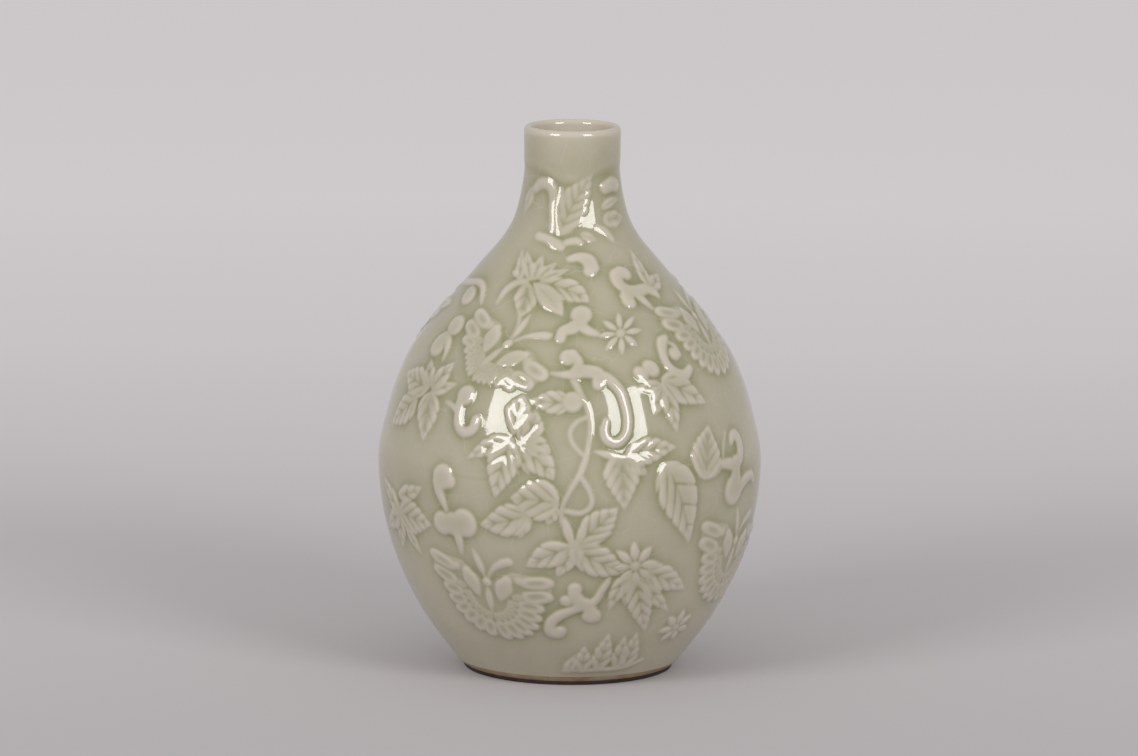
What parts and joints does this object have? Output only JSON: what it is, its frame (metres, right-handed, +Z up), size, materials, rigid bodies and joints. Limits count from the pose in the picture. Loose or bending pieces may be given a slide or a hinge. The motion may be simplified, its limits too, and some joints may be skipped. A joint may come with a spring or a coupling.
{
  "type": "relief vase",
  "caption": "Celadon baluster vase with a short straight neck, raised butterflies, blossoms, leaf sprays and cloud scrolls, on a low unglazed foot ring.",
  "frame": {"origin": "centre of the foot ring's tread, on the surface that the vase stands on", "axes": "+Z up along the axis of turning, -Y towards the pictured side, +X to the viewer's right"},
  "size_m": [0.1614, 0.1644, 0.23],
  "materials": {
    "bare_foot": "unglazed, iron-brown tread under a buff bevel",
    "glazed_wall": "glossy translucent celadon glaze with fine crackle",
    "glazed_neck": "glossy celadon glaze, thin and pinkish at the lip",
    "glazed_relief": "glossy celadon glaze, thin and pale on the raised parts"
  },
  "bodies": {
    "root": {"foot_ring": "bare_foot", "lower_body": "glazed_wall", "upper_body": "glazed_wall", "neck": "glazed_neck", "butterfly_low_left_front": "glazed_relief", "butterfly_low_right_front": "glazed_relief", "butterfly_high_left_front": "glazed_relief", "butterfly_high_right_front": "glazed_relief", "scroll_foot_front": "glazed_relief", "leaf_foot_front": "glazed_relief", "blossom_small_front": "glazed_relief", "blossom_low_front": "glazed_relief", "leaves_low_front": "glazed_relief", "leaf_lobed_front": "glazed_relief", "scroll_cloud_front": "glazed_relief", "leaves_edge_front": "glazed_relief", "leaves_centre_front": "glazed_relief", "leaf_heart_front": "glazed_relief", "leaf_long_front": "glazed_relief", "leaf_cup_and_hook_front": "glazed_relief", "leaves_left_front": "glazed_relief", "scroll_left_front": "glazed_relief", "scroll_hook_shoulder_front": "glazed_relief", "scroll_bulbs_front": "glazed_relief", "leaves_shoulder_front": "glazed_relief", "scroll_comma_front": "glazed_relief", "scroll_cluster_front": "glazed_relief", "blossom_star_front": "glazed_relief", "scroll_vine_front": "glazed_relief", "scroll_and_leaves_right_front": "glazed_relief", "scroll_neck_front": "glazed_relief", "leaves_neck_front": "glazed_relief", "butterfly_low_left_back": "glazed_relief", "butterfly_low_right_back": "glazed_relief", "butterfly_high_left_back": "glazed_relief", "butterfly_high_right_back": "glazed_relief", "scroll_foot_back": "glazed_relief", "leaf_foot_back": "glazed_relief", "blossom_small_back": "glazed_relief", "blossom_low_back": "glazed_relief", "leaves_low_back": "glazed_relief", "leaf_lobed_back": "glazed_relief", "scroll_cloud_back": "glazed_relief", "leaves_edge_back": "glazed_relief", "leaves_centre_back": "glazed_relief", "leaf_heart_back": "glazed_relief", "leaf_long_back": "glazed_relief", "leaf_cup_and_hook_back": "glazed_relief", "leaves_left_back": "glazed_relief", "scroll_left_back": "glazed_relief", "scroll_hook_shoulder_back": "glazed_relief", "scroll_bulbs_back": "glazed_relief", "leaves_shoulder_back": "glazed_relief", "scroll_comma_back": "glazed_relief", "scroll_cluster_back": "glazed_relief", "blossom_star_back": "glazed_relief", "scroll_vine_back": "glazed_relief", "scroll_and_leaves_right_back": "glazed_relief", "scroll_neck_back": "glazed_relief", "leaves_neck_back": "glazed_relief"}
  },
  "joints": []
}
